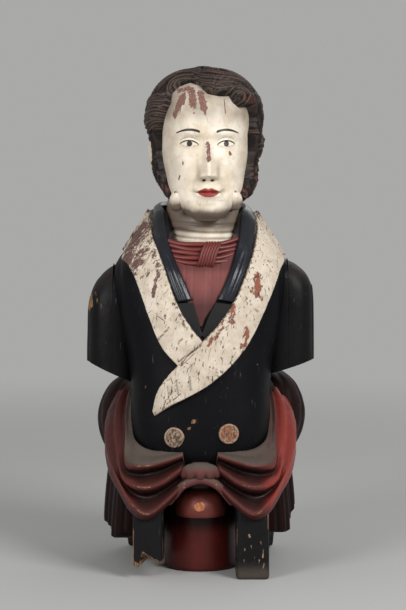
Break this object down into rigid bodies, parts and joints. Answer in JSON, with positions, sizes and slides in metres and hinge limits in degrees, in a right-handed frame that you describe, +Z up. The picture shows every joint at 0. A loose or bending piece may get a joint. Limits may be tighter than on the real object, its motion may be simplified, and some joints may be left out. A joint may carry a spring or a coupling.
{
  "type": "ship figurehead",
  "caption": "Carved and painted wooden ship figurehead: bust of a man in a dark coat with crossed pale lapels over red swagged drapery, flat at the back and below.",
  "frame": {"origin": "middle of the underside of the bounding box, on the surface that the figurehead stands on", "axes": "+Z up, the figure faces -Y, +X is the figure's left (the viewer's right)"},
  "size_m": [0.393, 0.35, 0.8619],
  "materials": {
    "coat_black": "worn satin black paint over wood",
    "sleeve_black": "worn satin black paint over wood",
    "lapel_cream": "flaking cream paint over red primer",
    "face_white": "aged white paint, satin, with small losses",
    "hair_brown": "dark brown paint, semi-gloss, rubbed on the ridges",
    "cloth_red": "dull red paint, satin",
    "drapery_red": "dark red lacquer, dusty on ledges and worn to wood on edges",
    "button_cream": "worn cream paint over orange-brown wood"
  },
  "bodies": {
    "root": {"carved_figure": "coat_black", "left_arm": "sleeve_black", "right_arm": "sleeve_black", "left_button": "button_cream", "right_button": "button_cream"}
  },
  "joints": []
}
